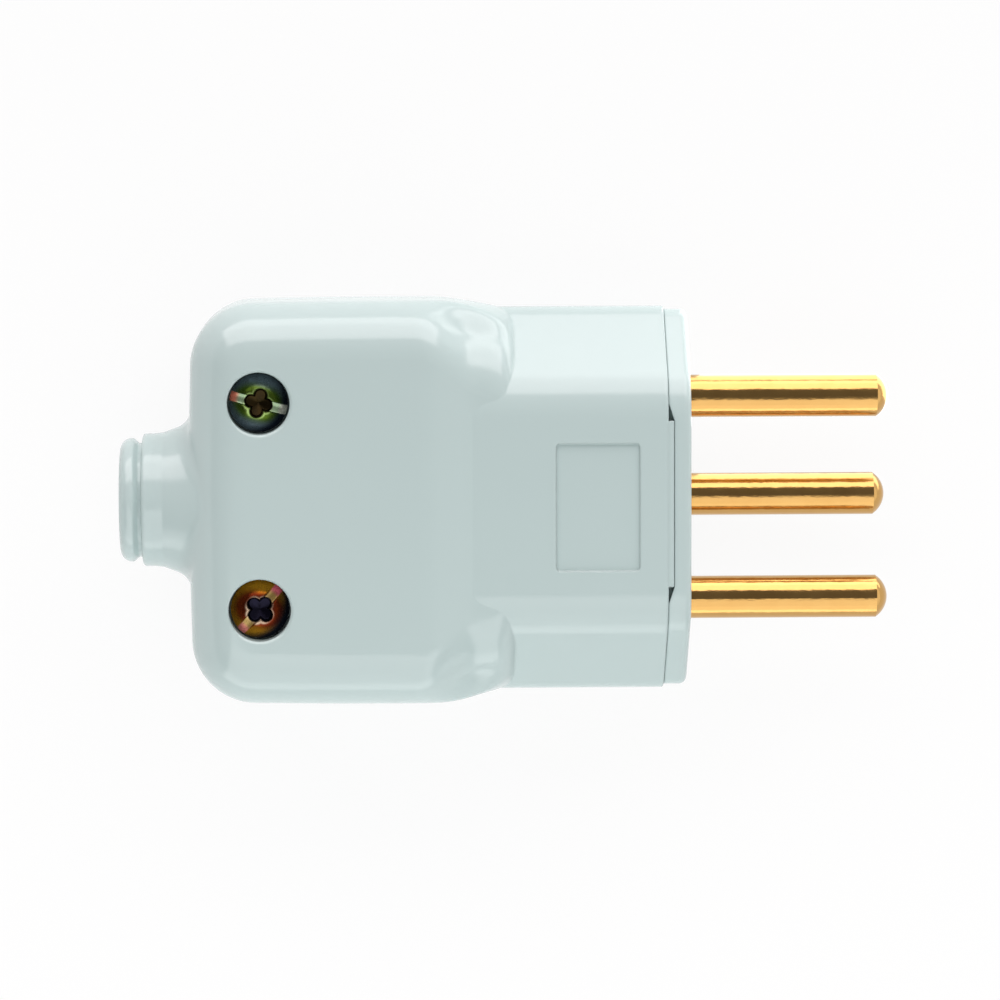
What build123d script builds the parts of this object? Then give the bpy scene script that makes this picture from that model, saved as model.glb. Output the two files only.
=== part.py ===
"""Three-pin mains plug that can be rewired: two moulded shells, a pin plate, brass pins and screws.

Millimetres. The origin is the centre of the pin face, between the line and neutral pins.
+X points out along the pins, +Y across the plug from neutral to line, and +Z out of the shell that shows
its screws. The shells part on the plane z = 0.
"""

import os
from math import asin, cos, degrees, radians, sin, tan

from build123d import *

os.makedirs("parts", exist_ok=True)

# Pins
pin_diameter = 4.0
pin_projection = 19.0
pin_pitch = 19.0
earth_drop = 3.0
pin_dome_height = 1.1
pin_root_diameter = 4.6
pin_clearance = 0.05

# Inner end of each pin: a collar, a waist in the saddle wall, and a barrel for the wire
collar_diameter = 6.2
collar_length = 1.6
waist_diameter = 4.6
barrel_diameter = 5.8
barrel_length = 10.5
wire_hole_diameter = 3.2
wire_hole_depth = 8.0
barrel_edge = 0.4

# Terminal screws
terminal_screw_diameter = 3.0
terminal_screw_length = 4.2
terminal_screw_setback = 4.0
terminal_slot_width = 0.6
terminal_slot_depth = 0.9
thread_clearance = 0.03

# Smallest rounding of an offset form, and the tilt that tells a side face from a top or a ramp
least_radius = 0.3
steep = 0.5

# Rear body
body_width = 37.65
body_thickness = 19.2
body_back = 46.55
crown_setback = 28.0
side_crown = 0.3
back_crown = 0.35
edge_radius = 5.2
flat_corner_radius = 0.8
wall = 2.0

# Ramp from the rear body down to the nose: where it begins, half its rounding there, where it meets the
# nose's facets, its half height and the radii of its edges and sides there, how late its sides fall in,
# and how far it runs on and falls inside the nose
ramp_start = 24.5
ramp_round = 1.2
ramp_end = 16.3
ramp_height = 7.56
ramp_edge_radius = 9.0
ramp_side_radius = 4.0
ramp_side_delay = 2.5
ramp_overrun = 2.0
ramp_fall = 1.0

# Hexagonal nose
nose_width = 36.0
nose_thickness = 17.0
facet_angle = 45.0
apex_radius = 2.4
nose_edge_radius = 5.8
nose_wall = 1.8
nose_rim_radius = 0.2

# Cable neck
neck_end = 53.1
bead_diameter = 11.6
bead_length = 1.25
bead_round = 1.1
bead_back_round = 0.3
groove_diameter = 10.7
groove_slope = 0.5
groove_length = 0.35
ring_diameter = 12.45
ring_length = 1.1
ring_round = 0.35
flare_diameter = 12.65
flare_rise = 0.85
flare_angle = 20.0
neck_fillet = 2.0
cable_bore = 8.5
bore_mouth = 0.5

# Pin plate
plate_thickness = 2.13
plate_inset = 0.3
plate_edge_radius = 0.7
plate_gap = 0.04
lip_length = 1.5
lip_height = 1.2
flange_length = 1.9
fit_gap = 0.1
tongue_half_width = 7.7
tongue_front = 1.6
tongue_depth = 1.2
tongue_drop = 0.12
tongue_round = 0.25
notch_half_width = 9.4

# Parting line
seam_width = 0.12
seam_depth = 0.2

# Body screws and nuts
screw_setback = 40.0
screw_spacing = 19.1
screw_diameter = 3.0
screw_hole_diameter = 3.4
head_diameter = 5.4
head_height = 2.1
head_side = 0.9
head_recess = 0.7
counterbore_diameter = 5.76
counterbore_bevel = 0.2
boss_diameter = 8.6
slot_width = 0.9
slot_depth = 0.9
cross_width = 0.75
cross_span = 2.6
cross_depth = 1.3
drive_angles = {1: -15.0, -1: 48.0}
nut_across_flats = 5.5
nut_height = 2.4
nut_recess = 0.5
nut_clearance = 0.1

# Inner walls
saddle_thickness = 1.5
barrier_thickness = 1.2
barrier_length = 12.0
grip_thickness = 1.2
grip_spacing = 3.6
grip_radius = 3.4
tab_length = 8.0
tab_thickness = 1.0
tab_height = 1.5
tab_root = 3.0
tab_setback = 29.0

# Marking panel on the nose
panel_near = 4.83
panel_length = 7.75
panel_width = 11.85
panel_offset = -0.25
panel_depth = 0.25
panel_corner = 0.4

# Places worked out from the sizes above
body_half = body_thickness / 2
nose_half = nose_thickness / 2
nose_front = plate_thickness + plate_gap
lip_back = nose_front + lip_length
flange_front = lip_back + fit_gap
plate_back = flange_front + flange_length
collar_back = plate_back + collar_length
saddle_front = collar_back + fit_gap
saddle_back = saddle_front + saddle_thickness
barrel_front = saddle_back + fit_gap
barrel_back = barrel_front + barrel_length
nose_root = ramp_start + ramp_round
terminal_x = -(barrel_back - terminal_screw_setback)
head_seat = body_half - head_recess - head_height
nut_seat = -(body_half - nut_recess - nut_height)
pin_places = {
    "line_pin": (pin_pitch / 2, 0.0),
    "neutral_pin": (-pin_pitch / 2, 0.0),
    "earth_pin": (0.0, -earth_drop),
}


def block(inset):
    """Rear body behind the ramp: crowned sides and back, a flat top and bottom, and round edges."""
    half_width = body_width / 2 - inset
    half_height = body_half - inset
    back = -body_back + inset
    crown_run = body_back - inset - back_crown - crown_setback
    crown_radius = (crown_run**2 + side_crown**2) / (2 * side_crown)
    crown_turn = degrees(asin(crown_run / crown_radius))
    with BuildPart() as form:
        with BuildSketch() as plan:
            with BuildLine():
                crown = JernArc((-crown_setback, half_width), (-1, 0), crown_radius, crown_turn)
                Polyline(crown @ 0, (-nose_root, half_width), (-nose_root, 0))
                mirror(about=Plane.XZ)
                ThreePointArc(crown @ 1, (back, 0), ((crown @ 1).X, -(crown @ 1).Y))
            make_face()
            back_corners = plan.vertices().group_by(Axis.X)[0]
            fillet(back_corners, max(edge_radius + flat_corner_radius - inset, least_radius))
        extrude(amount=half_height, both=True)
        front_face = form.faces().sort_by(Axis.X)[-1]
        side_faces = form.faces().filter_by(lambda face: abs(face.normal_at().Z) < steep)
        rims = side_faces.edges().filter_by(Axis.Z, reverse=True)
        rims = rims.filter_by(lambda edge: edge not in front_face.edges())
        fillet(rims, max(edge_radius - inset, least_radius))
    return form.part


def nose_point(inset):
    """Where two facets of the nose would meet at its side, with no rounding."""
    slope = radians(facet_angle)
    return nose_width / 2 + apex_radius * (1 / sin(slope) - 1) - inset / sin(slope)


def straight(start, end):
    """Control points of a straight stretch of a section."""
    return [start, start + (end - start) / 3, end - (end - start) / 3, end]


def quarter_points(inset):
    """Control points, from side to top, of a quarter of the block's section and of the ramp's last one."""
    slope = radians(facet_angle)
    low_handle = 4 / 3 * tan(radians(90 - facet_angle) / 4)
    high_handle = 4 / 3 * tan(slope / 4)
    rise = Vector(-cos(slope), sin(slope))
    facing = Vector(sin(slope), cos(slope))
    outward = Vector(1, 0)

    radius = max(edge_radius - inset, least_radius)
    side = Vector(body_width / 2 - inset, 0)
    side_end = Vector(side.X, body_half - inset - radius)
    middle = side_end - outward * radius + facing * radius
    top = Vector(side.X - radius, body_half - inset)
    block_points = [
        straight(side, side_end),
        [side_end, side_end + Vector(0, radius * low_handle), middle - rise * radius * low_handle, middle],
        [middle, middle + rise * radius * high_handle, top + outward * radius * high_handle, top],
        straight(top, Vector(0, top.Y)),
    ]

    apex = max(ramp_side_radius - inset, least_radius)
    edge = max(ramp_edge_radius - inset, least_radius)
    point = nose_point(inset)
    height = ramp_height - inset
    corner = Vector(point - height / tan(slope), height)
    apex_centre = Vector(point - apex / sin(slope), 0)
    apex_side = apex_centre + outward * apex
    apex_lift = Vector(0, apex * low_handle)
    facet_start = apex_centre + facing * apex
    facet_end = corner - rise * edge * tan(slope / 2)
    ramp_top = corner - outward * edge * tan(slope / 2)
    facet_third = (facet_end - facet_start) / 3
    facet_handle = 3 * radius * low_handle * apex * low_handle / side_end.Y
    edge_reach = edge * high_handle
    ramp_points = [
        [apex_side, apex_side + apex_lift, facet_start - rise * apex * low_handle, facet_start],
        [facet_start, facet_start + rise * facet_handle, facet_end - facet_third, facet_end],
        [facet_end, facet_end + rise * edge_reach, ramp_top + outward * edge_reach, ramp_top],
        straight(ramp_top, Vector(0, height)),
    ]
    return block_points, ramp_points


def half_section(inset, setback, blend):
    """Section of the ramp on the line pin's side, blended from the block's outline to the ramp's last one.

    The side, with the first half of the edge, follows later than the top.
    """
    block_points, ramp_points = quarter_points(inset)
    if blend == 0:
        radius = max(edge_radius - inset, least_radius)
        centre = block_points[0][-1] - Vector(radius, 0)
        quarter = [
            Line(block_points[0][0], block_points[0][-1]),
            CenterArc(centre, radius, 0, 90 - facet_angle),
            CenterArc(centre, radius, 90 - facet_angle, facet_angle),
            Line(block_points[3][0], block_points[3][-1]),
        ]
    else:
        late = blend**ramp_side_delay
        blends = [[late] * 4, [late, late, blend, blend], [blend] * 4, [blend] * 4]
        quarter = [
            Bezier(*[first + (last - first) * part for first, last, part in zip(*stretch)])
            for stretch in zip(block_points, ramp_points, blends)
        ]
    outline = [edge.mirror(Plane.XZ) for edge in reversed(quarter)] + quarter
    outline.append(Line(outline[-1] @ 1, outline[0] @ 1))
    section_plane = Plane.YZ.offset(-setback)
    return Face(Wire([section_plane * edge for edge in outline]))


def pillow(inset):
    """Rear body with the ramp that leads down to the nose."""
    ramp_run = ramp_start - ramp_end
    slices = [half_section(inset, nose_root, 0)]
    for share in (0.25, 0.5, 0.75, 1.0):
        setback = nose_root - 2 * ramp_round * share
        slices.append(half_section(inset, setback, ramp_round * share**2 / ramp_run))
    for share in (0.5, 1.0):
        setback = ramp_start - ramp_round - (ramp_run - ramp_round) * share
        slices.append(half_section(inset, setback, (ramp_start - setback) / ramp_run))
    slices.append(half_section(inset + ramp_fall, ramp_end - ramp_overrun, 1))
    with BuildPart() as form:
        add(block(inset))
        split(bisect_by=Plane.XZ, keep=Keep.BOTTOM)
        loft(slices)
        mirror(about=Plane.XZ)
    return form.part


def nose(inset, back, front):
    """Hexagonal prism of the nose, its faces moved in by inset, between two distances from the pin face."""
    slope = radians(facet_angle)
    point = nose_point(inset)
    height = nose_half - inset
    flat = point - height / tan(slope)
    with BuildPart() as form:
        with BuildSketch(Plane.YZ.offset(-back)) as section:
            with BuildLine():
                Polyline(
                    (point, 0), (flat, height), (-flat, height),
                    (-point, 0), (-flat, -height), (flat, -height),
                    close=True,
                )
            make_face()
            apexes = section.vertices().filter_by(lambda vertex: abs(vertex.Y) < height / 2)
            fillet(apexes, max(apex_radius - inset, least_radius))
            flat_ends = section.vertices().filter_by(lambda vertex: abs(vertex.Y) > height / 2)
            fillet(flat_ends, max(nose_edge_radius - inset, least_radius))
        extrude(amount=back - front)
    return form.part


def neck():
    """Cable neck, turned about the cable's axis: end bead, groove, ring and a flare into the body."""
    crest_end = neck_end - bead_length
    groove_start = crest_end - groove_slope
    ring_start = groove_start - groove_length
    ring_end = ring_start - ring_length
    flare_start = ring_end - flare_rise
    flare_end = body_back - edge_radius
    flare_radius = flare_diameter / 2 + (flare_start - flare_end) * tan(radians(flare_angle))
    with BuildPart() as form:
        with BuildSketch(Plane.XZ) as section:
            with BuildLine():
                Polyline(
                    (-neck_end, 0), (-neck_end, bead_diameter / 2), (-crest_end, bead_diameter / 2),
                    (-groove_start, groove_diameter / 2), (-ring_start, groove_diameter / 2),
                    (-ring_start, ring_diameter / 2), (-ring_end, ring_diameter / 2),
                    (-flare_start, flare_diameter / 2), (-flare_end, flare_radius), (-flare_end, 0),
                    close=True,
                )
            make_face()
            for radius, x, height in [
                (bead_round, neck_end, bead_diameter / 2),
                (bead_back_round, crest_end, bead_diameter / 2),
                (ring_round, ring_start, ring_diameter / 2),
            ]:
                fillet(section.vertices().sort_by_distance((-x, height)).first, radius)
        revolve(axis=Axis.X)
    return form.part


def channel(place, radius, back, front):
    """Round bar along X at a pin's place, between two distances from the pin face, for cutting a way."""
    with BuildPart() as form:
        with BuildSketch(Plane.YZ.offset(-back)):
            with Locations(place):
                Circle(radius)
        extrude(amount=back - front)
    return form.part


def turned_pin(place):
    """Brass pin turned about its own axis, with its wire hole and the hole for its terminal screw."""
    axis_plane = Plane(origin=(0, place[0], place[1]), x_dir=(1, 0, 0), z_dir=(0, -1, 0))
    dome_start = pin_projection - pin_dome_height
    with BuildPart() as form:
        with BuildSketch(axis_plane):
            with BuildLine():
                stem = Polyline(
                    (pin_projection, 0), (-barrel_back, 0), (-barrel_back, barrel_diameter / 2),
                    (-barrel_front, barrel_diameter / 2), (-barrel_front, waist_diameter / 2),
                    (-collar_back, waist_diameter / 2), (-collar_back, collar_diameter / 2),
                    (-plate_back, collar_diameter / 2), (-plate_back, pin_root_diameter / 2),
                    (0, pin_root_diameter / 2), (0, pin_diameter / 2), (dome_start, pin_diameter / 2),
                )
                dome_radius = ((pin_diameter / 2) ** 2 + pin_dome_height**2) / (2 * pin_dome_height)
                RadiusArc(stem @ 1, stem @ 0, dome_radius)
            make_face()
        revolve(axis=Axis(axis_plane.origin, (1, 0, 0)))
        barrel_rims = form.edges().filter_by(GeomType.CIRCLE).group_by(Axis.X)[0]
        chamfer(barrel_rims, barrel_edge)
        with Locations(Plane(origin=(-barrel_back, place[0], place[1]), z_dir=(-1, 0, 0))):
            Hole(wire_hole_diameter / 2, depth=wire_hole_depth)
        with Locations((terminal_x, place[0], place[1] + barrel_diameter / 2)):
            Hole(terminal_screw_diameter / 2 + thread_clearance, depth=barrel_diameter / 2)
    return form.part


def plate_tongue():
    """Tongue on the shell's front rim, with a round front edge, that keys the pin plate."""
    with BuildPart() as form:
        with Locations((-tongue_front - plate_gap, 0, nose_half - tongue_drop)):
            Box(
                lip_back - tongue_front - plate_gap, 2 * tongue_half_width, tongue_depth,
                align=(Align.MAX, Align.CENTER, Align.MAX),
            )
        fillet(form.edges().filter_by(Axis.Y).group_by(Axis.Z)[-1].sort_by(Axis.X)[-1], tongue_round)
    return form.part


# Shared forms of the housing
outer_body = pillow(0)
inner_body = pillow(wall)
outer_nose = nose(0, nose_root, nose_front)
inner_nose = nose(nose_wall, nose_root, lip_back)
lip_opening = nose(nose_wall + lip_height, nose_root, nose_front)
cable_neck = neck()
tongue = plate_tongue()
screw_places = [(-screw_setback, side * screw_spacing / 2) for side in drive_angles]

with BuildPart() as seam:
    Box(2 * neck_end, 2 * body_width, seam_width)
    add(pillow(seam_depth), mode=Mode.SUBTRACT)
    add(nose(seam_depth, nose_root, -neck_end), mode=Mode.SUBTRACT)
    add(channel((0, 0), groove_diameter / 2 - seam_depth, 2 * neck_end, 0), mode=Mode.SUBTRACT)

with BuildPart() as housing:
    add(outer_body)
    add(cable_neck)
    neck_root = housing.edges(Select.NEW).filter_by(lambda edge: edge.geom_type != GeomType.LINE)
    fillet(neck_root, neck_fillet)
    add(outer_nose)
    fillet(housing.faces().sort_by(Axis.X)[-1].edges(), nose_rim_radius)
    add(inner_body, mode=Mode.SUBTRACT)
    add(inner_nose, mode=Mode.SUBTRACT)
    add(lip_opening, mode=Mode.SUBTRACT)
    with BuildSketch(Plane.YZ.offset(-neck_end)):
        Circle(cable_bore / 2)
    extrude(amount=neck_end - body_back + edge_radius, mode=Mode.SUBTRACT)
    add(seam.part, mode=Mode.SUBTRACT)
    mouth = housing.edges().filter_by(GeomType.CIRCLE).group_by(Axis.X)[0].sort_by(SortBy.RADIUS)[0]
    chamfer(mouth, bore_mouth)

with BuildPart() as rib_room:
    add(pillow(wall / 2))
    add(nose(nose_wall / 2, nose_root, lip_back))

upward = (Align.CENTER, Align.CENTER, Align.MIN)
downward = (Align.CENTER, Align.CENTER, Align.MAX)
backward = (Align.MAX, Align.CENTER, Align.MIN)
grip_way = channel((0, 0), grip_radius, body_back, screw_setback - boss_diameter)
saddle_ways = [
    channel(place, waist_diameter / 2 + fit_gap, saddle_back, saddle_front) for place in pin_places.values()
]


def inner_walls(grip_setbacks):
    """Screw bosses, saddle wall, barriers and cord grips, from the parting plane up into the shell."""
    with BuildPart() as form:
        with Locations(*screw_places):
            Cylinder(boss_diameter / 2, body_half, align=upward)
        with Locations((-saddle_front, 0)):
            Box(saddle_thickness, nose_width, nose_half, align=backward)
        with Locations((-saddle_front, pin_pitch / 4), (-saddle_front, -pin_pitch / 4)):
            Box(barrier_length, barrier_thickness, body_half, align=backward)
        with Locations(*[(-setback, 0) for setback in grip_setbacks]):
            Box(grip_thickness, screw_spacing, body_half, align=upward)
        add(grip_way, mode=Mode.SUBTRACT)
        add(rib_room.part, mode=Mode.INTERSECT)
    return form.part


upper_walls = inner_walls([screw_setback])
lower_walls = mirror(
    inner_walls([screw_setback - grip_spacing / 2, screw_setback + grip_spacing / 2]),
    about=Plane.XY,
)

with BuildPart() as upper_shell:
    add(housing.part)
    split(bisect_by=Plane.XY, keep=Keep.TOP)
    add(upper_walls)
    add(saddle_ways, mode=Mode.SUBTRACT)
    with Locations(*[(x, y, body_half) for x, y in screw_places]):
        CounterBoreHole(screw_hole_diameter / 2, counterbore_diameter / 2, body_half - head_seat)
    with Locations(*[(x, y, body_half - counterbore_bevel) for x, y in screw_places]):
        Cone(
            counterbore_diameter / 2, counterbore_diameter / 2 + 2 * counterbore_bevel, 2 * counterbore_bevel,
            align=upward, mode=Mode.SUBTRACT,
        )
    with BuildSketch(Plane.XY.offset(nose_half)):
        with Locations((-panel_near - panel_length / 2, panel_offset)):
            RectangleRounded(panel_length, panel_width, panel_corner)
    extrude(amount=-panel_depth, mode=Mode.SUBTRACT)
    add(tongue)
upper_shell.part.label = "upper_shell"
export_step(upper_shell.part, "parts/upper_shell.step")

with BuildPart() as lower_shell:
    add(housing.part)
    split(bisect_by=Plane.XY, keep=Keep.BOTTOM)
    add(lower_walls)
    add(saddle_ways, mode=Mode.SUBTRACT)
    with Locations((-saddle_front, 0, -earth_drop)):
        Box(saddle_thickness, waist_diameter + 2 * fit_gap, earth_drop, align=backward, mode=Mode.SUBTRACT)
    tab_y = body_width / 2 - wall - fit_gap - tab_thickness / 2
    for side in drive_angles:
        with Locations((-tab_setback, side * tab_y, -tab_root)):
            Box(tab_length, tab_thickness, tab_root + tab_height, align=upward)
        with Locations((-tab_setback, side * (tab_y + wall / 4), -tab_root)):
            Box(tab_length, tab_thickness + wall / 2, tab_root - fit_gap, align=upward)
    with Locations(*[(x, y, nut_seat) for x, y in screw_places]):
        Hole(screw_hole_diameter / 2)
    with BuildSketch(Plane.XY.offset(nut_seat)):
        with Locations(*screw_places):
            RegularPolygon(nut_across_flats / 2 + nut_clearance, 6, major_radius=False)
    extrude(amount=-body_half - nut_seat, mode=Mode.SUBTRACT)
    add(mirror(tongue, about=Plane.XY, mode=Mode.PRIVATE))
lower_shell.part.label = "lower_shell"
export_step(lower_shell.part, "parts/lower_shell.step")

with BuildPart() as front_plate:
    add(nose(plate_inset, plate_thickness, 0))
    fillet(front_plate.faces().sort_by(Axis.X)[-1].edges(), plate_edge_radius)
    add(nose(nose_wall + lip_height + fit_gap, plate_back, 0))
    add(nose(nose_wall + fit_gap, plate_back, flange_front))
    with BuildSketch(Plane.XY.offset(nose_half - tongue_drop - tongue_depth - fit_gap)):
        with BuildLine():
            Polyline(
                (-nose_front, notch_half_width), (-tongue_front, tongue_half_width),
                (-tongue_front, -tongue_half_width), (-nose_front, -notch_half_width),
                close=True,
            )
        make_face()
    notch_cut = extrude(amount=tongue_depth + tongue_drop + fit_gap, mode=Mode.SUBTRACT)
    mirror(notch_cut, about=Plane.XY, mode=Mode.SUBTRACT)
    for place in pin_places.values():
        with Locations(Plane(origin=(0, place[0], place[1]), z_dir=(1, 0, 0))):
            Hole(pin_root_diameter / 2 + pin_clearance)
front_plate.part.label = "front_plate"
export_step(front_plate.part, "parts/front_plate.step")

for name, place in pin_places.items():
    pin = turned_pin(place)
    pin.label = name
    export_step(pin, f"parts/{name}.step")

with BuildPart() as terminal_screws:
    for place in pin_places.values():
        with Locations((terminal_x, place[0], place[1])):
            Cylinder(terminal_screw_diameter / 2, terminal_screw_length, align=upward)
        with Locations((terminal_x, place[0], place[1] + terminal_screw_length)):
            Box(
                terminal_screw_diameter, terminal_slot_width, terminal_slot_depth,
                align=downward, mode=Mode.SUBTRACT,
            )
terminal_screws.part.label = "terminal_screws"
export_step(terminal_screws.part, "parts/terminal_screws.step")

with BuildPart() as body_screws:
    for side, drive_angle in drive_angles.items():
        place = (-screw_setback, side * screw_spacing / 2)
        head_plane = Plane(origin=(place[0], place[1], head_seat), x_dir=(1, 0, 0), z_dir=(0, -1, 0))
        with BuildSketch(head_plane):
            with BuildLine():
                rim = Polyline(
                    (0, head_height), (0, nut_seat - nut_height - head_seat),
                    (screw_diameter / 2, nut_seat - nut_height - head_seat), (screw_diameter / 2, 0),
                    (head_diameter / 2, 0), (head_diameter / 2, head_side),
                )
                dome_rise = head_height - head_side
                dome_radius = ((head_diameter / 2) ** 2 + dome_rise**2) / (2 * dome_rise)
                RadiusArc(rim @ 1, rim @ 0, -dome_radius)
            make_face()
        revolve(axis=Axis(head_plane.origin, (0, 0, 1)))
        drive_top = Plane(origin=(place[0], place[1], head_seat + head_height)).rotated((0, 0, drive_angle))
        with Locations(drive_top):
            Box(head_diameter, slot_width, slot_depth, align=downward, mode=Mode.SUBTRACT)
            Box(cross_span, cross_width, cross_depth, align=downward, mode=Mode.SUBTRACT)
            Box(cross_width, cross_span, cross_depth, align=downward, mode=Mode.SUBTRACT)
body_screws.part.label = "body_screws"
export_step(body_screws.part, "parts/body_screws.step")

with BuildPart() as body_nuts:
    with BuildSketch(Plane.XY.offset(nut_seat)):
        with Locations(*screw_places):
            RegularPolygon(nut_across_flats / 2, 6, major_radius=False)
            Circle(screw_diameter / 2 + thread_clearance, mode=Mode.SUBTRACT)
    extrude(amount=-nut_height)
body_nuts.part.label = "body_nuts"
export_step(body_nuts.part, "parts/body_nuts.step")
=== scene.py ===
# %% [markdown]
# # A rewirable three-pin plug
# The object is a mains plug: a pale grey moulded housing in two shells, a plate that carries three
# brass pins, and two sunk screws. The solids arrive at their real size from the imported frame. Here
# they get their finishes, a pair of finer screws, and a soft studio light like the one that a
# catalogue photographer would set up.

# %% Load the frame
from math import radians, tan

import bpy
import numpy as np
from mathutils import Matrix, Vector


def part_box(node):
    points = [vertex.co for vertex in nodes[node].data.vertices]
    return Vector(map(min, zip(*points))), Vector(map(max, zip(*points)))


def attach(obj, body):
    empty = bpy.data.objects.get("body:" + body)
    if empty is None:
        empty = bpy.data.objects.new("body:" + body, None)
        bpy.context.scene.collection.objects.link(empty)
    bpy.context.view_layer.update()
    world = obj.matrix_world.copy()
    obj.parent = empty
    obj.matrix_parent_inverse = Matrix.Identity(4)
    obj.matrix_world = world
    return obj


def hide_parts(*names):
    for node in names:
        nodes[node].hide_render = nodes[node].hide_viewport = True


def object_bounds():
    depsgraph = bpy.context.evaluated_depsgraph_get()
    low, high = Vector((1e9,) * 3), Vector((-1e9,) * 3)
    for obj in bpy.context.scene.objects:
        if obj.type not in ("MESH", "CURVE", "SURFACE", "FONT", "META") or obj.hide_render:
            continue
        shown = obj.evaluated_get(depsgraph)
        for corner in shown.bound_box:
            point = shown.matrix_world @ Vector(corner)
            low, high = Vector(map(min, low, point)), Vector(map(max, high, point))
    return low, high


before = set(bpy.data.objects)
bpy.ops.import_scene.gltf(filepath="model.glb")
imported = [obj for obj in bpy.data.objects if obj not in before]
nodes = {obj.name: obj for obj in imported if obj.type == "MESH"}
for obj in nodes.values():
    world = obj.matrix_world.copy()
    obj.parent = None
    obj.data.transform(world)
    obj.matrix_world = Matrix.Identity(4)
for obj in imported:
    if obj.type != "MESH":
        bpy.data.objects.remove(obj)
cad_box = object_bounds()
MM = 0.001
print("nodes:", sorted(nodes))
print("box in mm:", [[round(c / MM, 2) for c in corner] for corner in cad_box])

# %% [markdown]
# ## Shader maths as Python
# A finish is a network of nodes, and most of them only add, multiply or compare numbers. Wrapping a
# socket in a small class with operators lets such a network read as one line of arithmetic, so that a
# reader sees the idea.


# %% A socket with operators
class Wire:
    """One output socket in a node tree. Arithmetic between wires and numbers adds Math nodes."""

    def __init__(self, tree, socket=None):
        self.tree = tree
        self.socket = socket

    def node(self, kind, settings=None, sockets=None, output=0):
        """Adds a node: its settings first, a ramp's stops among them, then its sockets' values or links."""
        made = self.tree.nodes.new(kind)
        for name, value in (settings or {}).items():
            if name == "stops":
                ramp = made.color_ramp.elements
                while len(ramp) < len(value):
                    ramp.new(1.0)
                for stop, (place, colour) in zip(ramp, value):
                    stop.position = place
                    stop.color = (*colour, 1.0)
            else:
                setattr(made, name, value)
        for name, value in (sockets or {}).items():
            if isinstance(value, Wire):
                self.tree.links.new(value.socket, made.inputs[name])
            else:
                made.inputs[name].default_value = value
        return Wire(self.tree, made.outputs[output])

    def math(self, operation, *values):
        """A Math node on wires and numbers."""
        return self.node("ShaderNodeMath", {"operation": operation}, dict(enumerate(values)))

    def __add__(self, other):
        return self.math("ADD", self, other)

    def __radd__(self, other):
        return self.math("ADD", other, self)

    def __rmul__(self, other):
        return self.math("MULTIPLY", other, self)

    def __lt__(self, other):
        return self.math("LESS_THAN", self, other)


def finish(name):
    """A new material, a wire to build its nodes from, and its Principled shader."""
    material = bpy.data.materials.new(name)
    material.use_nodes = True
    shader = material.node_tree.nodes["Principled BSDF"]
    return material, Wire(material.node_tree), shader


def feed(wire, shader, sockets):
    """Fills the shader's sockets with wires, colours or plain numbers."""
    for name, value in sockets.items():
        if isinstance(value, Wire):
            wire.tree.links.new(value.socket, shader.inputs[name])
        elif np.ndim(value):
            shader.inputs[name].default_value = (*value, 1.0)
        else:
            shader.inputs[name].default_value = value


def between(wire, share, low, high):
    """A colour mixed from low to high by a share. Each end is a colour or a wire."""
    ends = [end if isinstance(end, Wire) else (*end, 1.0) for end in (low, high)]
    return wire.node("ShaderNodeMix", {"data_type": "RGBA"}, {0: share, 6: ends[0], 7: ends[1]}, output=2)


def grain(wire, scale, detail, stretch=(1, 1, 1)):
    """Noise on the piece's own coordinates, in metres, drawn out along the axes with a small stretch."""
    place = wire.node("ShaderNodeTexCoord", output="Object")
    drawn = wire.node("ShaderNodeMapping", {}, {"Vector": place, "Scale": stretch})
    return wire.node("ShaderNodeTexNoise", {}, {"Vector": drawn, "Scale": scale, "Detail": detail})


# %% [markdown]
# ## Housing plastic
# The shells and the plate are glossy injection-moulded plastic, pale grey with a little green in it.
# Real mouldings are never one flat colour: the tint drifts where the melt flowed, and the gloss
# ripples a little. The Bevel node rounds what the light sees of each sharp edge, as a mould's worn
# edges do.

# %% The plastic
plastic_light = (0.512, 0.622, 0.614)
plastic_shade = (0.488, 0.598, 0.59)
plastic_ior = 1.5
plastic_specular = 0.65
plastic_roughness = 0.12
flow_scale, flow_detail = 55.0, 3.0
ripple_scale, ripple_detail = 900.0, 2.0
ripple_roughness = 0.08
ripple_strength = 0.05
ripple_height = 0.02 * MM
edge_radius = 0.3 * MM
edge_samples = 6


def moulded_plastic():
    """Glossy grey moulding: slow drift of tint, faint ripple in the gloss, softened edges."""
    material, wire, shader = finish("pale_grey_moulding")
    flow = grain(wire, flow_scale, flow_detail)
    ripple = grain(wire, ripple_scale, ripple_detail)
    soft_edge = wire.node("ShaderNodeBevel", {"samples": edge_samples}, {"Radius": edge_radius})
    bump = wire.node("ShaderNodeBump", {}, {
        "Strength": ripple_strength, "Distance": ripple_height, "Height": ripple, "Normal": soft_edge,
    })
    feed(wire, shader, {
        "Base Color": between(wire, flow, plastic_shade, plastic_light),
        "Roughness": plastic_roughness + ripple_roughness * ripple,
        "IOR": plastic_ior,
        "Specular IOR Level": plastic_specular,
        "Normal": bump,
    })
    return material


# %% [markdown]
# ## Brass
# The pins are turned and polished. Polishing leaves a fine grain, which frays the edges of every
# reflection, and a few small pits. The grain is noise in a Bump node, and the pits are the hearts of
# far-apart Voronoi cells.

# %% The brass
brass_pale = (0.6, 0.365, 0.125)
brass_deep = (0.545, 0.308, 0.096)
pit_colour = (0.16, 0.07, 0.02)
pit_scale = 150.0
pit_size = 0.016
pit_roughness = 0.3
cloud_scale, cloud_detail = 600.0, 5.0
cloud_roughness = 0.10
polish_scale, polish_detail = 1800.0, 4.0
polish_stretch = (0.5, 1, 1)
polish_strength = 0.6
polish_height = 0.03 * MM
brass_roughness = 0.10


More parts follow.
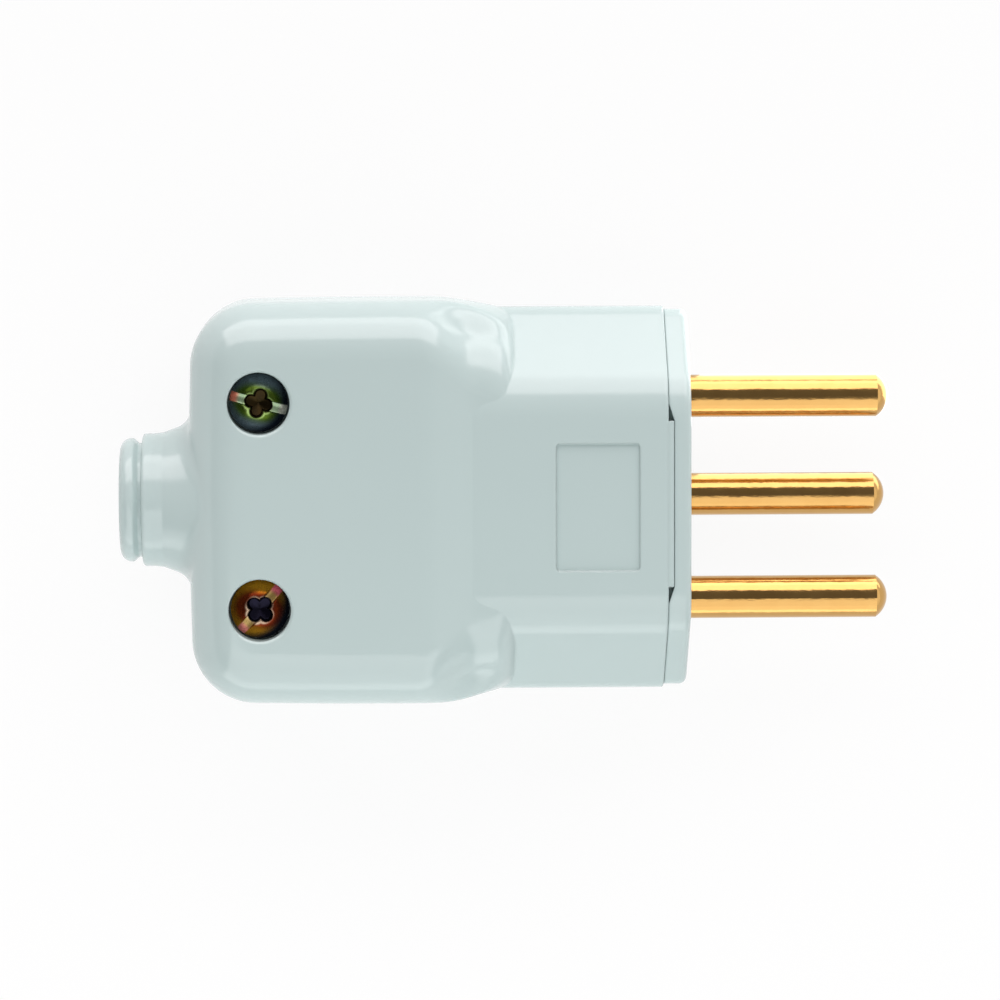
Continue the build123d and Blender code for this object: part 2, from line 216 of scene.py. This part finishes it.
def turned_brass():
    """Polished brass: clouds of colour, a fine grain that frays reflections, and sparse dark pits."""
    material, wire, shader = finish("polished_brass")
    cloud = grain(wire, cloud_scale, cloud_detail)
    polish = grain(wire, polish_scale, polish_detail, stretch=polish_stretch)
    place = wire.node("ShaderNodeTexCoord", output="Object")
    cell = wire.node("ShaderNodeTexVoronoi", {}, {"Vector": place, "Scale": pit_scale}, output="Distance")
    pit = cell < pit_size
    bump = wire.node("ShaderNodeBump", {}, {
        "Strength": polish_strength, "Distance": polish_height, "Height": polish,
    })
    feed(wire, shader, {
        "Base Color": between(wire, pit, between(wire, cloud, brass_deep, brass_pale), pit_colour),
        "Roughness": brass_roughness + cloud_roughness * cloud + pit_roughness * pit,
        "Metallic": 1.0,
        "Normal": bump,
    })
    return material


# %% [markdown]
# ## Plating
# Zinc plating under a chromate film runs through rainbow colours with the film's thickness. On the
# nuts and the terminal screws a ramp of those colours follows a slow noise. On the body screws, which
# show, the colour comes from the points of the mesh, so that the slot, the recess and the rim can
# each have their own, and painted shade and painted glints lie among those colours.

# %% The plating
film_colours = [
    (0.25, (0.30, 0.22, 0.08)),
    (0.45, (0.42, 0.30, 0.10)),
    (0.60, (0.30, 0.30, 0.12)),
    (0.75, (0.40, 0.20, 0.09)),
]
film_scale, film_detail = 450.0, 3.0
zinc_roughness, film_roughness = 0.18, 0.2
mottle_scale, mottle_detail = 2200.0, 3.0
mottle_colour = (0.01, 0.01, 0.012)
mottle_share = 0.55
tarnish_roughness, mottle_roughness = 0.16, 0.2


def yellow_zinc():
    """Yellow chromate film on zinc, which drifts from straw to olive and copper."""
    material, wire, shader = finish("yellow_zinc")
    cloud = grain(wire, film_scale, film_detail)
    tone = wire.node("ShaderNodeValToRGB", {"stops": film_colours}, {"Fac": cloud})
    feed(wire, shader, {
        "Base Color": tone,
        "Roughness": zinc_roughness + film_roughness * cloud,
        "Metallic": 1.0,
    })
    return material


def tarnished_plating_and_painted_light():
    """Tarnished film in the colours of the screw's points, painted shade and glints among them, mottled by
    noise.
    """
    material, wire, shader = finish("tarnished_plating_and_painted_light")
    tone, metallic_share = (
        wire.node("ShaderNodeAttribute", {"attribute_name": "plating"}, output=part)
        for part in ("Color", "Alpha")
    )
    mottle = grain(wire, mottle_scale, mottle_detail)
    feed(wire, shader, {
        "Base Color": between(wire, mottle_share * mottle, tone, mottle_colour),
        "Roughness": tarnish_roughness + mottle_roughness * mottle,
        "Metallic": metallic_share,
    })
    return material


# %% Dress the solids
plastic = moulded_plastic()
brass = turned_brass()
zinc = yellow_zinc()
dressing = {
    "upper_shell": plastic, "lower_shell": plastic, "front_plate": plastic,
    "line_pin": brass, "neutral_pin": brass, "earth_pin": brass,
    "terminal_screws": zinc, "body_nuts": zinc,
}
for name, material in dressing.items():
    nodes[name].data.materials.clear()
    nodes[name].data.materials.append(material)
print("dressed:", len(dressing), "nodes")

# %% [markdown]
# ## Body screws
# The heads lie deep in their counterbores, and each has a slot and a cross for either driver.
# Pressing rounds every rim of such a recess and hollows the slot's floor, which is where the bright
# glints come from, and the head's colours paint glints there as well. A head is a height over its
# disc: the lowest of a dome, a slot and a cross, blended so that the rims are round.

# %% Relief of a head
screw_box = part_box("body_screws")
head_diameter = screw_box[1].x - screw_box[0].x
head_rise = 1.2 * MM
head_height = 2.1 * MM
slot_width = 0.92 * MM
slot_depth = 0.55 * MM
slot_fall = 0.16
slot_hollow = 0.5 / MM
cross_reach = 1.2 * MM
cross_width = 0.92 * MM
cross_depth = 1.6 * MM
cross_slope = 0.4
wall_slope = 4.0
rim_blend = 0.05 * MM


def lower_of(first, second):
    """The lower of two heights, with a round edge where they cross."""
    return -rim_blend * np.logaddexp(-first / rim_blend, -second / rim_blend)


def past_cross(across, along):
    """Distance outside the cross, which is two crossed slots with round ends."""
    ways = []
    for long_way, short_way in ((along, across), (across, along)):
        past_end = np.maximum(np.abs(long_way) - cross_reach + cross_width / 2, 0)
        ways.append(np.hypot(past_end, short_way) - cross_width / 2)
    return np.minimum(*ways)


def head_relief(across, along):
    """Height of the head's top, below zero: the lowest of a dome, a hollow slot and a deep cross."""
    reach = np.hypot(across, along)
    dome_radius = ((head_diameter / 2) ** 2 + head_rise**2) / (2 * head_rise)
    dome = np.sqrt(dome_radius**2 - reach**2) - dome_radius
    slot_floor = -slot_depth - slot_fall * np.abs(along) + slot_hollow * across**2
    slot = slot_floor + wall_slope * np.maximum(np.abs(across) - slot_width / 2, 0)
    cross = -cross_depth + cross_slope * reach + wall_slope * np.maximum(past_cross(across, along), 0)
    return lower_of(lower_of(dome, slot), cross)


# %% [markdown]
# ## Film colours of the heads, with painted shade and glints
# The film is thin in the middle and thick at the rim. One side is painted darker as shade, and the
# cross's recess is painted dark as the shade inside it. Each end of the slot has a colour of its own,
# painted bright as a glint. Painted glints ring the cross, brightest at its corners on the lit side, and
# the metal turns partly matt there so that the painted colour shows bright.

# %% Colours of a head
# rim is the colour of the painted glints round the cross, recess the painted shade inside it, shadow the
# painted shade on one side; slot and its ends are film colours painted bright as glints.
line_side_tints = {
    "inner": (0.070, 0.120, 0.010), "outer": (0.14, 0.18, 0.21), "shadow": (0.012, 0.020, 0.035),
    "recess": (0.034, 0.022, 0.006), "rim": (0.60, 0.85, 0.25), "slot": (0.45, 0.62, 0.38),
    "slot_ahead": (0.62, 0.60, 0.52), "slot_behind": (0.95, 0.26, 0.16),
}
neutral_side_tints = {
    "inner": (0.200, 0.026, 0.004), "outer": (0.55, 0.25, 0.012), "shadow": (0.012, 0.016, 0.030),
    "recess": (0.012, 0.011, 0.024), "rim": (0.95, 0.72, 0.50), "slot": (0.55, 0.36, 0.10),
    "slot_ahead": (0.95, 0.16, 0.22), "slot_behind": (0.95, 0.28, 0.24),
}
film_heading = radians(165.0)
film_lobes = 0.13
film_range = (0.60, 0.92)
shadow_heading = radians(-35.0)
shadow_base, shadow_lean = 0.66, 0.34
shadow_range = (0.58, 0.88)
slot_end_glint_range = (0.65, 0.85)
slot_edge = (-0.02 * MM, 0.06 * MM)
glint_heading = -2.4
glint_base, glint_lean = 0.65, 0.35
glint_faint, glint_gain = 0.1, 0.9
glint_full = 0.9
rim_place = 0.24 * MM
rim_width = 0.16 * MM
rim_least, rim_gain = 0.5, 1.4
recess_edge = (0.04 * MM, 0.12 * MM)
# How far the metal turns matt where glints are painted, on the rim and, scaled down, in the slot.
glint_matt = 0.8
slot_glint_matt = 0.6


def rising(value, low, high):
    """A smooth step from 0 below low to 1 above high, as a column for colours."""
    share = np.clip((value - low) / (high - low), 0, 1)
    return (share * share * (3 - 2 * share))[:, None]


def head_colours(across, along, heading, turn, tints):
    """Film colours of a head with painted shade and glints, and as a fourth column its metallic share."""
    tint = {part: np.array(colour) for part, colour in tints.items()}
    reach = np.hypot(across, along)
    full = head_diameter / 2
    film = reach / full - film_lobes * np.cos(2 * (heading - film_heading))
    ring = tint["inner"] + (tint["outer"] - tint["inner"]) * rising(film, *film_range)
    lean = reach / full * (shadow_base + shadow_lean * np.cos(heading - shadow_heading))
    colours = ring + (tint["shadow"] - ring) * rising(lean, *shadow_range)

    # The slot: film colours painted bright as a glint, with a colour of its own towards each end.
    slot_end = np.where(along[:, None] > 0, tint["slot_ahead"], tint["slot_behind"])
    slot = tint["slot"] + (slot_end - tint["slot"]) * rising(np.abs(along) / full, *slot_end_glint_range)
    in_slot = rising(slot_width / 2 - np.abs(across), *slot_edge)
    colours += (slot - colours) * in_slot

    # Painted glints round the cross: widest and strongest at its corners on the lit side.
    outside = past_cross(across, along)
    lit_side = glint_base + glint_lean * np.cos(heading - glint_heading)
    corner = (1 - np.cos(4 * (heading - turn))) / 2 * lit_side
    width = rim_width * (rim_least + rim_gain * corner)
    painted_rim_glint = rising(1 - np.abs(outside - rim_place) / width, 0.0, glint_full)
    painted_rim_glint = painted_rim_glint * (glint_faint + glint_gain * corner[:, None])
    colours += (tint["rim"] - colours) * painted_rim_glint
    # Painted shade inside the cross's recess.
    painted_recess_shade = rising(rim_place - outside, *recess_edge)
    colours += (tint["recess"] - colours) * painted_recess_shade
    # Where glints are painted the metal turns partly matt, so that their colour shows bright; not in the
    # recess.
    metallic_share = 1 - glint_matt * np.maximum(painted_rim_glint, slot_glint_matt * in_slot) * (1 - painted_recess_shade)
    return np.hstack([colours, metallic_share])


# %% Mesh of a screw
shank_diameter = 3.0 * MM
shank_chamfer = 0.4 * MM
head_rings, head_spokes = 84, 264
plating = tarnished_plating_and_painted_light()


def screw_mesh(name, place, turn, tints):
    """A screw turned about its axis: rings of the head's relief, then seat, shank and chamfer."""
    tip = screw_box[0].z - screw_box[1].z
    shank = shank_diameter / 2
    spokes = np.linspace(0, 2 * np.pi, head_spokes, endpoint=False)
    head_reach = np.linspace(0, head_diameter / 2, head_rings + 1)[1:]
    below = np.array([
        (head_diameter / 2, -head_height), (shank, -head_height), (shank, tip + shank_chamfer),
        (shank - shank_chamfer, tip),
    ])
    reach, angle = np.meshgrid(np.concatenate([head_reach, below[:, 0]]), spokes, indexing="ij")
    across, along = reach * np.sin(angle - turn), reach * np.cos(angle - turn)
    height = np.vstack([
        head_relief(across[:head_rings], along[:head_rings]),
        np.repeat(below[:, 1:], head_spokes, axis=1),
    ])
    points = np.stack([reach * np.cos(angle), reach * np.sin(angle), height], axis=-1).reshape(-1, 3)
    centre = head_relief(np.zeros(1), np.zeros(1))[0]
    points = np.vstack([points, [(0, 0, centre), (0, 0, tip)]])

    ring, spoke = np.meshgrid(np.arange(len(reach) - 1), np.arange(head_spokes), indexing="ij")
    here, ahead = ring * head_spokes + spoke, ring * head_spokes + (spoke + 1) % head_spokes
    quads = np.stack([here, here + head_spokes, ahead + head_spokes, ahead], axis=-1).reshape(-1, 4)
    first = np.arange(head_spokes)
    after = (first + 1) % head_spokes
    last = (len(reach) - 1) * head_spokes
    top_cap = np.stack([np.full_like(first, len(points) - 2), first, after], axis=-1)
    tip_cap = np.stack([np.full_like(first, len(points) - 1), last + after, last + first], axis=-1)

    mesh = bpy.data.meshes.new(name)
    faces = quads.tolist() + top_cap.tolist() + tip_cap.tolist()
    mesh.from_pydata((points + place).tolist(), [], faces)
    mesh.shade_smooth()
    heading = np.arctan2(points[:, 1], points[:, 0])
    reach = np.hypot(points[:, 0], points[:, 1])
    own = heading - turn
    colours = head_colours(reach * np.sin(own), reach * np.cos(own), heading, turn, tints)
    # The points carry the film colours with the painted shade and glints, and the metallic share.
    layer = mesh.attributes.new("plating", "FLOAT_COLOR", "POINT")
    layer.data.foreach_set("color", colours.ravel())
    mesh.materials.append(plating)
    return mesh


# %% Place the screws
screw_x = (screw_box[0].x + screw_box[1].x) / 2
screw_y = screw_box[1].y - head_diameter / 2
line_turn, neutral_turn = radians(-15.0), radians(48.0)
screws = {
    "line_side_screw": ((screw_x, screw_y, screw_box[1].z), line_turn, line_side_tints),
    "neutral_side_screw": ((screw_x, -screw_y, screw_box[1].z), neutral_turn, neutral_side_tints),
}
for name, (place, turn, tints) in screws.items():
    screw = bpy.data.objects.new(name, screw_mesh(name, place, turn, tints))
    bpy.context.scene.collection.objects.link(screw)
    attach(screw, "root")
    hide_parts("body_screws")
    print(name, "has", len(screw.data.polygons), "faces")

# %% [markdown]
# ## Floor and backdrop
# The plug lies on a wide disc of white paper inside a round white wall. Paper lit only as much as the
# plug would look grey, so what the camera and the reflections see of it is mostly its own glow, and
# the rest still takes a soft shadow.

# %% The floor and the backdrop
floor_radius = 5.0
floor_gap = 0.05 * MM
floor_level = cad_box[0].z - floor_gap
wall_height = 1.5
wall_sides = 96
paper_colour = (0.9, 0.9, 0.9)
paper_roughness = 0.9
paper_glow = 0.9


def white_paper():
    """Matt paper, near white to the camera and in reflections, that keeps a faint shadow."""
    material, wire, shader = finish("white_paper")
    feed(wire, shader, {
        "Base Color": paper_colour,
        "Roughness": paper_roughness,
        "Specular IOR Level": 0.0,
    })
    rays = [
        wire.node("ShaderNodeLightPath", output=kind)
        for kind in ("Is Camera Ray", "Is Glossy Ray", "Is Transmission Ray")
    ]
    seen = wire.math("MAXIMUM", wire.math("MAXIMUM", rays[0], rays[1]), rays[2])
    glow = wire.node("ShaderNodeEmission", {}, {"Color": (1, 1, 1, 1), "Strength": 1.0})
    mixed = wire.node("ShaderNodeMixShader", {}, {0: paper_glow * seen, 2: glow})
    wire.tree.links.new(shader.outputs[0], mixed.socket.node.inputs[1])
    wire.tree.links.new(mixed.socket, wire.tree.nodes["Material Output"].inputs["Surface"])
    return material


turns = np.linspace(0, 2 * np.pi, wall_sides, endpoint=False)
wall_foot = np.stack([
    floor_radius * np.cos(turns), floor_radius * np.sin(turns), np.full(wall_sides, floor_level),
], axis=1)
wall_top = wall_foot + (0, 0, wall_height)
start = np.arange(wall_sides)
follow = (start + 1) % wall_sides
sheets = {
    "floor": (wall_foot, [start.tolist()]),
    "backdrop": (
        np.vstack([wall_foot, wall_top]),
        np.stack([follow, start, start + wall_sides, follow + wall_sides], axis=1).tolist(),
    ),
}
paper = white_paper()
for name, (corners, faces) in sheets.items():
    sheet_mesh = bpy.data.meshes.new(name)
    sheet_mesh.from_pydata(corners.tolist(), [], faces)
    sheet_mesh.materials.append(paper)
    sheet = bpy.data.objects.new(name, sheet_mesh)
    bpy.context.scene.collection.objects.link(sheet)

# %% [markdown]
# ## Light
# The reflections in the round pins map the studio: a long bright softbox on the line pin's side, from
# a third of the way up down to the table, a dark gap overhead where the camera stands, and two dimmer
# reflectors, one above the other, on the far side. Two faint ones past the pins brighten the ramp,
# and a card that lies on the table beside the pins brightens their upper edges. The side reflectors
# are turned a little towards the neck, so that the top doesn't mirror their end in a low view from
# behind.


# %% Lamps
def area_lamp(name, size, radiance, place, tint=(1.0, 1.0, 1.0)):
    """Flat rectangular lamp that shines down its own -Z and is hidden from the camera."""
    lamp = bpy.data.lights.new(name, "AREA")
    lamp.shape = "RECTANGLE"
    lamp.size, lamp.size_y = size
    lamp.energy = radiance * np.pi * lamp.size * lamp.size_y
    lamp.color = tint
    stand = bpy.data.objects.new(name, lamp)
    stand.matrix_world = place
    stand.visible_camera = False
    bpy.context.scene.collection.objects.link(stand)


def softbox(name, heading, low, high, spread, distance, radiance, tint=(1.0, 1.0, 1.0)):
    """Lamp that fills the angles from low to high off the vertical, in one heading, seen from the plug."""
    size = [2 * distance * tan(radians(angle / 2)) for angle in (spread, high - low)]
    middle = (Vector(cad_box[0]) + Vector(cad_box[1])) / 2
    place = (
        Matrix.Translation((middle.x, middle.y, 0.0))
        @ Matrix.Rotation(radians(heading - 90), 4, "Z")
        @ Matrix.Rotation(-radians((low + high) / 2), 4, "X")
        @ Matrix.Translation((0, 0, distance))
    )
    area_lamp(name, size, radiance, place, tint)


key = {"heading": 90.0, "spread": 88.0, "distance": 0.8, "tint": (1.0, 0.94, 0.945)}
side = {"heading": -99.0, "spread": 70.0, "distance": 0.22}
front = {"heading": 0.0, "spread": 100.0, "distance": 0.25}
softbox("key_softbox", low=40.0, high=89.0, radiance=2.75, **key)
softbox("side_upper", low=15.0, high=50.0, radiance=1.45, **side)
softbox("side_lower", low=50.0, high=89.0, radiance=1.6, **side)
softbox("front_upper", low=20.0, high=55.0, radiance=0.31, **front)
softbox("front_lower", low=55.0, high=89.0, radiance=0.4, **front)

card_size = (58 * MM, 84 * MM)
card_middle = (31 * MM, 48 * MM)
card_thickness = 1 * MM
card_radiance = 2.0
card_place = Matrix.Translation((*card_middle, floor_level + card_thickness))
area_lamp("table_card", card_size, card_radiance, card_place @ Matrix.Rotation(np.pi, 4, "X"))

room_level = 0.17
world = bpy.data.worlds.new("studio")
world.use_nodes = True
room = world.node_tree.nodes["Background"].inputs
room["Color"].default_value = (1, 1, 1, 1)
room["Strength"].default_value = room_level
bpy.context.scene.world = world

# %% [markdown]
# ## Camera
# The view is from almost straight above. How far the tops of things shift against their feet says
# where the camera stood, and a long lens from that place gives the same small perspective.

# %% The camera
frame_pixels = 1000
pixels_per_mm = 10.63
sensor_mm = 36.0
camera_place = Vector((-32.0, 37.4, 450.0)) * MM
camera_roll = radians(-0.18)
nearest = 0.01
look_at = Vector((-17.51, -0.22, 0.0)) * MM
sight = camera_place - look_at
lens = bpy.data.cameras.new("camera")
lens.sensor_width = sensor_mm
lens.lens = sensor_mm * pixels_per_mm * sight.length / MM / frame_pixels
lens.clip_start = nearest
camera = bpy.data.objects.new("camera", lens)
right = Vector((0, 1, 0)).cross(sight).normalized()
up = sight.cross(right).normalized()
facing = Matrix((right, up, sight.normalized())).transposed().to_4x4()
rolled = facing @ Matrix.Rotation(camera_roll, 4, "Z")
camera.matrix_world = Matrix.Translation(camera_place) @ rolled
bpy.context.scene.collection.objects.link(camera)
bpy.context.scene.camera = camera
bpy.context.scene.view_settings.view_transform = "Standard"
